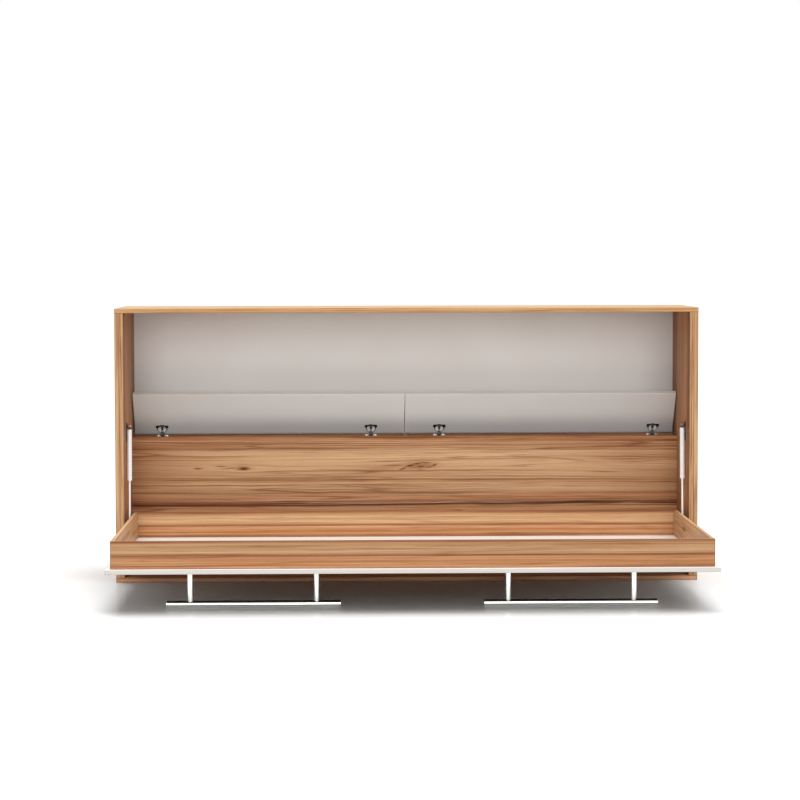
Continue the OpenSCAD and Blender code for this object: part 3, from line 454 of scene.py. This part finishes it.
# Where the faces of the two plates lie, out from the bed's middle
CABINET_PLATE_X, TRAY_PLATE_X = 1036, 1021
for hand, side in (("left", -1), ("right", 1)):
    in_cabinet = [(side * CABINET_PLATE_X, y, z) for y in (-220, -180) for z in (120, 200)]
    on_tray = [(side * TRAY_PLATE_X, y, z) for y in (-236, -186) for z in (161, 225)]
    screws(
        "pivot_screws_" + hand, "cabinet", zinc, in_cabinet, (-side, 0, 0),
        head_d=8.4, head_h=0.5, recess=1.0, seed=2,
    )
    screws(
        "tray_plate_screws_" + hand, "bed", zinc, on_tray, (side, 0, 0),
        head_d=8.4, head_h=1.6, recess=1.0, seed=3,
    )

# Storage lids: two 16 mm grey melamine boards, which the photograph shows standing 55 degrees open.
# Their thin edge band carries a painted highlight: a paler line painted along the board's arrises.
for hand in ("left", "right"):
    plain_melamine("melamine_grey_lid_" + hand, "lid_" + hand, "dddcd9", "d7d5d2", "efece8")

# Concealed hinges: a pressed steel cup in the lid whose flange is painted black and whose bowl is bright
# nickel, a pressed steel link on its pin, a goose-necked nickel arm with a black cover over its foot, and
# a nickel winged plate with a black saddle. The lids stand at LID_OPEN about LID_AXIS, given as (y, z).
dark_nickel = plain_finish("dark_nickel", "1c1b1a", "242322", 0.9, 0.4)
link_steel = plain_finish("pressed_link_steel", "55514d", "494643", 0.9, 0.35, metal=0.4)
LID_OPEN = math.radians(-55)
LID_AXIS = (211.0, 527.0)
CUP_CENTRES = {"left": (-930.0, -129.0), "right": (134.0, 957.0)}
CUP_Y, LID_UNDERSIDE_Z = 191.5, 513.0
OUT_OF_LID = (0.0, math.sin(LID_OPEN), -math.cos(LID_OPEN))
# Where the screws sit: in the cups' wings with the lid closed, in the plates' wings and in the arms
WING_SCREW_Y, WING_SCREW_Z, WING_SCREW_OUT = 181.0, 511.8, 19
PLATE_SCREW_Y, PLATE_SCREW_Z, PLATE_SCREW_OUT = 210.0, 505.5, 16
ARM_SCREW_Y, ARM_SCREW_Z = 201.0, 475.0


def on_open_lid(x, y, z):
    """A point of the closed lid, where it is with the lid open."""
    dy, dz = y - LID_AXIS[0], z - LID_AXIS[1]
    c, s = math.cos(LID_OPEN), math.sin(LID_OPEN)
    return (x, LID_AXIS[0] + c * dy - s * dz, LID_AXIS[1] + s * dy + c * dz)


def cup_finish(hand, bowl_radius=15.6):
    """Bright bowl and black flange, whose lower rim turns pale grey down the lid."""
    material, tree, mm = new_material("hinge_cup_steel_" + hand)
    first, second = CUP_CENTRES[hand]
    middle = on_open_lid((first + second) / 2, CUP_Y, LID_UNDERSIDE_Z)
    offset = vectors(tree, "SUBTRACT", mm, middle)
    d = add_node(tree, "ShaderNodeSeparateXYZ", None, {0: offset}).outputs
    out = maths(tree, "ABSOLUTE", d[0])
    out = maths(tree, "SUBTRACT", out, (second - first) / 2)
    down_the_lid = (0.0, -OUT_OF_LID[2], OUT_OF_LID[1])
    down = vectors(tree, "DOT_PRODUCT", offset, down_the_lid)
    both = add_node(tree, "ShaderNodeCombineXYZ", None, {0: out, 1: down})
    far = vectors(tree, "LENGTH", both)
    bowl = remap(tree, far, bowl_radius, bowl_radius + 0.3, 1.0, 0.0)
    spots = cloud(tree, mm, 1.1, 2.0)
    # the flange is coloured pale grey from the cup's middle down the lid
    pale_lower_rim = remap(tree, down, -1.0, 7.0, 0.0, 0.95)
    black = blend(tree, pale_lower_rim, to_linear("0b0b0b"), to_linear("b3aea9"))
    colour = blend(tree, bowl, black, to_linear("f3f1ed"))
    rough = remap(tree, spots, 0.3, 0.7, 0.3, 0.4)
    metal = maths(tree, "MULTIPLY", bowl, 0.2)
    surface(tree, {"Base Color": colour, "Metallic": metal, "Roughness": rough})
    dress(material, "hinge_cups_" + hand)


def plate_finish(hand, half_saddle=7.0):
    """Nickel wings and a black saddle, 14 mm wide, that the arm sits on."""
    material, tree, mm = new_material("hinge_plate_steel_" + hand)
    first, second = CUP_CENTRES[hand]
    x = add_node(tree, "ShaderNodeSeparateXYZ", None, {0: mm}).outputs[0]
    out = maths(tree, "SUBTRACT", x, (first + second) / 2)
    out = maths(tree, "ABSOLUTE", out)
    out = maths(tree, "SUBTRACT", out, (second - first) / 2)
    out = maths(tree, "ABSOLUTE", out)
    wing = remap(tree, out, half_saddle, half_saddle + 0.4, 0.0, 1.0)
    spots = cloud(tree, mm, 0.5, 2.0)
    colour = blend(tree, wing, to_linear("0f0f0f"), to_linear("98938a"))
    rough = remap(tree, spots, 0.3, 0.7, 0.34, 0.46)
    surface(tree, {"Base Color": colour, "Metallic": wing, "Roughness": rough})
    dress(material, "hinge_plates_" + hand)


def arm_finish(cover_top_z=519.0):
    """Nickel neck, and a black cover over the foot that sits on the plate."""
    material, tree, mm = new_material("hinge_arm_nickel_and_cover")
    z = add_node(tree, "ShaderNodeSeparateXYZ", None, {0: mm}).outputs[2]
    neck = remap(tree, z, cover_top_z - 0.5, cover_top_z + 0.5, 0.0, 1.0)
    spots = cloud(tree, mm, 0.6, 2.0)
    colour = blend(tree, neck, to_linear("0d0d0d"), to_linear("c9c5bf"))
    rough = remap(tree, spots, 0.3, 0.7, 0.28, 0.38)
    surface(tree, {"Base Color": colour, "Metallic": neck, "Roughness": rough})
    return material


hinge_arm = arm_finish()
for hand in ("left", "right"):
    cup_finish(hand)
    plate_finish(hand)
    dress(hinge_arm, "hinge_arms_" + hand)
    dress(link_steel, "hinge_links_" + hand)
    wing_xs = [x + side * WING_SCREW_OUT for x in CUP_CENTRES[hand] for side in (-1, 1)]
    in_wings = [on_open_lid(x, WING_SCREW_Y, WING_SCREW_Z) for x in wing_xs]
    screws(
        "cup_screws_" + hand, "storage_lid_" + hand, dark_nickel, in_wings, OUT_OF_LID,
        head_d=7.0, head_h=1.6, recess=0.9, seed=5,
    )
    plate_xs = [x + side * PLATE_SCREW_OUT for x in CUP_CENTRES[hand] for side in (-1, 1)]
    on_plate = [(x, PLATE_SCREW_Y, PLATE_SCREW_Z) for x in plate_xs]
    screws(
        "plate_screws_" + hand, "cabinet", zinc, on_plate, (0, -1, 0),
        head_d=7.0, head_h=1.6, recess=0.9, seed=6,
    )
    on_arm = [(x, ARM_SCREW_Y, ARM_SCREW_Z) for x in CUP_CENTRES[hand]]
    screws(
        "arm_screws_" + hand, "cabinet", zinc, on_arm, (0, -1, 0),
        head_d=7.6, head_h=1.8, recess=1.0, seed=7,
    )

# Door slab: the bed's base and the cabinet's front in one, a 16 mm board of plain white melamine.
# Its ABS edge band is a shade greyer than its faces, and the face that is the closed front is softer in tone.
plain_melamine(
    "melamine_white_door", "door_panel", "f9f8f5", "f5f4f1", "cfc6bd", rough=0.4, pebble=0.08,
    edge_colour="d5d0cb", under_colour="e3e1dd",
)

# Tray rails: four fruitwood boards on edge, glued and dowelled to the slab, grain along each.
# Front and rear are cut from one sheet: pale upper half, dark line, then orange and brown stripes.
rail_bands = [
    (150, "rust"), (157, "rust"), (164, "cherry"), (174, "cherry"), (181, "copper"), (187, "copper"),
    (190.5, "honey"), (192, "umber"), (195, "umber"), (197, "rust"), (200, "honey"), (204, "tan"),
    (208, "straw"), (214, "tan"), (232, "tan"), (235.5, "honey"), (238.5, "rust"), (244, "umber"),
]
front_marks = [
    (-520, 226, 40, 2.0, 0.4, 0.8, 0), (150, 224, 90, 1.8, 0.4, 0.8, 0), (420, 163, 70, 3.0, 0.4, 0.8, 0)
]
rear_marks = [
    (-480, 224, 60, 2.0, 0.4, 0.8, 0), (120, 222, 120, 1.8, 0.5, 0.8, 0), (370, 160, 80, 3.0, 0.5, 0.8, 0)
]
fruitwood("front_rail", X, Z, rail_bands, 20.0, front_marks, wander=2.2, figure=0.75, veins=0.35)
fruitwood("rear_rail", X, Z, rail_bands, 21.0, rear_marks, wander=2.2, figure=0.75, veins=0.35)
end_bands = [(150, "amber"), (172, "straw"), (192, "tan"), (200, "straw"), (222, "tan"), (244, "straw")]
left_marks = [(-300, 185, 60, 5, 0.5, 0.6, 0.1), (-700, 215, 90, 4, 0.4, 0.6, 0)]
right_marks = [
    (-385, 203, 34, 7, 0.8, 0.9, 0.1), (-300, 170, 60, 4, 0.5, 0.5, 0.1), (-640, 190, 80, 5, 0.45, 0.6, 0)
]
fruitwood("end_rail_left", Y, Z, end_bands, 23.0, left_marks, wander=9.0)
fruitwood("end_rail_right", Y, Z, end_bands, 26.0, right_marks, wander=9.0)

# Gas struts: a white enamelled cylinder with a bronze brown moulded eye, and a chromed rod with a
# welded eye, on a black bracket above and a stud below, held by a spring steel ring. The cylinder's
# end is rolled over its guide and enamelled with it.
STRUT_EYE_X, STRUT_EYE_Y, STRUT_EYE_Z = 1027.0, -131.0, 568.0
BRACKET_X, STUD_PLATE_X = 1036.5, 1020


def strut_finish(hand, side, eye_reach=15.0):
    """White enamel on the cylinder, and bronze brown moulding around its upper eye."""
    material, tree, mm = new_material("enamel_and_bronze_eye_" + hand)
    centre = (side * STRUT_EYE_X, STRUT_EYE_Y, STRUT_EYE_Z)
    eye = vectors(tree, "DISTANCE", mm, centre)
    bronze = remap(tree, eye, eye_reach, eye_reach + 0.6, 1.0, 0.0)
    haze = cloud(tree, mm, 0.16, 3.0)
    white = blend(tree, haze, to_linear("f2f3f4"), to_linear("eaebec"))
    colour = blend(tree, bronze, white, to_linear("7c5238"))
    rough = remap(tree, haze, 0.3, 0.7, 0.26, 0.36)
    surface(tree, {"Base Color": colour, "Roughness": rough, "Coat Weight": 0.3})
    dress(material, "strut_cylinder_" + hand, "strut_guide_" + hand)


hard_chrome = plain_finish("hard_chrome", "fbfaf8", "f6f5f2", 30.0, 0.34, metal=0.25)
for hand, side in (("left", -1), ("right", 1)):
    strut_finish(hand, side)
    dress(hard_chrome, "strut_rod_" + hand, "strut_piston_" + hand)
    dress(black_steel, "strut_bracket_" + hand, "strut_stud_" + hand)
    dress(ground_steel, "strut_clip_" + hand)
    in_bracket = [(side * BRACKET_X, STRUT_EYE_Y, z) for z in (520, 546)]
    screws(
        "bracket_screws_" + hand, "cabinet", zinc, in_bracket, (-side, 0, 0),
        head_d=8.0, head_h=0.3, recess=1.0, seed=9,
    )
    in_stud_plate = [(side * STUD_PLATE_X, -156, z) for z in (176.5, 203.5)]
    screws(
        "stud_screws_" + hand, "bed", zinc, in_stud_plate, (side, 0, 0),
        head_d=7.6, head_h=1.6, recess=1.0, seed=11,
    )


# Legs: a round foot bar on two posts at each end, which is also the handle. Chromed steel tube, the
# posts coped and brazed to the bar, chromed plugs in the bar's ends, bolts up into the slab. The
# bar's chrome carries a painted reflection: its side that faces the slab is painted dark for the slab's
# shaded underside.
def bar_finish():
    """Chrome with a painted reflection: the side of the bar that faces the slab is painted dark, for the
    slab's shaded underside.
    """
    material, tree, mm = new_material("chromed_foot_bar_painted_reflection")
    upward = add_node(tree, "ShaderNodeTexCoord").outputs["Normal"]
    upward = add_node(tree, "ShaderNodeSeparateXYZ", None, {0: upward}).outputs["Z"]
    # painted reflection: the faces turned up towards the slab are painted dark
    dark = remap(tree, upward, 0.4, 0.75, 0.0, 0.9, "SMOOTHSTEP")
    colour = blend(tree, dark, to_linear("e4e4e0"), to_linear("2c2824"))
    haze = cloud(tree, mm, 0.033, 3.0)
    rough = remap(tree, haze, 0.3, 0.7, 0.07, 0.11)
    surface(tree, {"Base Color": colour, "Roughness": rough, "Metallic": 1.0})
    return material


bar_chrome_painted_reflection = bar_finish()
post_chrome = plain_finish("chromed_post", "fbfaf9", "f6f5f3", 30.0, 0.16, metal=1.0)
dress(bar_chrome_painted_reflection, "leg_bar_left", "leg_bar_right", "leg_caps")
dress(
    post_chrome, "leg_post_left_outer", "leg_post_left_inner", "leg_post_right_inner", "leg_post_right_outer"
)
dress(zinc, "leg_bolts")


# Studio: a pale, slightly glossy floor with two lights of its own, and one broad light over the
# object with a key and a front light.
def seen_rays(tree):
    """1 for the rays that show the background: to the camera, in a mirror or through glass. 0 for light."""
    rays = add_node(tree, "ShaderNodeLightPath").outputs
    seen = rays["Is Camera Ray"]
    for kind in ("Is Glossy Ray", "Is Transmission Ray"):
        seen = maths(tree, "MAXIMUM", seen, rays[kind])
    return seen


floor_mesh = bpy.data.meshes.new("studio_floor")
reach = 60.0
corners = [(-reach, -reach, 0), (reach, -reach, 0), (reach, reach, 0), (-reach, reach, 0)]
floor_mesh.from_pydata(corners, [], [(0, 1, 2, 3)])
floor = bpy.data.objects.new("studio_floor", floor_mesh)
bpy.context.scene.collection.objects.link(floor)
floor_material, tree, _ = new_material("pale_floor")
shown = seen_rays(tree)
pale = blend(tree, shown, to_linear("8e8986"), to_linear("fbfbfa"))
matt = add_node(tree, "ShaderNodeBsdfDiffuse", None, {"Color": pale})
wet = add_node(tree, "ShaderNodeBsdfGlossy", None, {"Color": to_linear("ffffff"), "Roughness": 0.22})
mixed = add_node(tree, "ShaderNodeMixShader", None, {0: 0.1, 1: matt, 2: wet})
add_node(tree, "ShaderNodeOutputMaterial", None, {"Surface": mixed})
floor_mesh.materials.append(floor_material)

world = bpy.data.worlds.new("studio")
bpy.context.scene.world = world
world.use_nodes = True
tree = world.node_tree
tree.nodes.clear()
level = remap(tree, seen_rays(tree), 0.0, 1.0, 0.42, 1.0)
sky = add_node(tree, "ShaderNodeBackground", None, {"Color": (1, 1, 1, 1), "Strength": level})
add_node(tree, "ShaderNodeOutputWorld", None, {"Surface": sky})

# Lamps: name, strength, how wide each looks, and its lean and turn, in degrees. The object's are flagged
# off the floor, and the floor's are off the object: those are narrower, which keeps the shadow under the bed.
flagged = bpy.data.collections.new("flagged_off")
flagged.objects.link(floor)
flagged.collection_objects[0].light_linking.link_state = "EXCLUDE"
floor_only = bpy.data.collections.new("floor_only")
floor_only.objects.link(floor)
for name, strength, spread, lean, turn in (
    ("overhead", 2.1, 75, -2, 10),
    ("key", 1.5, 56, 36, 0),
    ("front", 1.25, 36, 84, 0),
    ("floor_light", 2.0, 40, -17, -1),
    ("floor_fill", 1.0, 40, 13, 24),
):
    lamp = bpy.data.lights.new(name, "SUN")
    lamp.energy = strength
    lamp.angle = math.radians(spread)
    holder = bpy.data.objects.new(name, lamp)
    holder.rotation_euler = (math.radians(lean), math.radians(turn), 0)
    bpy.context.scene.collection.objects.link(holder)
    holder.light_linking.receiver_collection = floor_only if name.startswith("floor") else flagged

# Camera: the photograph's, found by fitting the cabinet's and the bed's corners. It stands 8.9 m in
# front of the cabinet, 1.2 m up, and looks slightly down.
yaw, pitch, roll = -0.022681, -0.0599135, -0.0019439
stand = Vector((-0.22818, -9.12801, 1.20238))
ahead_flat = Vector((-math.sin(yaw), math.cos(yaw), 0))
right = Vector((math.cos(yaw), math.sin(yaw), 0))
up = Vector((0, 0, 1)) * math.cos(pitch) - ahead_flat * math.sin(pitch)
ahead = ahead_flat * math.cos(pitch) + Vector((0, 0, math.sin(pitch)))
across = right * math.cos(roll) + up * math.sin(roll)
above = up * math.cos(roll) - right * math.sin(roll)
camera_data = bpy.data.cameras.new("camera")
camera_data.sensor_width = 36.0
camera_data.lens = 109.265
camera = bpy.data.objects.new("camera", camera_data)
camera.matrix_world = Matrix.Translation(stand) @ Matrix((across, above, -ahead)).transposed().to_4x4()
bpy.context.scene.collection.objects.link(camera)
bpy.context.scene.camera = camera
bpy.context.scene.view_settings.view_transform = "Standard"
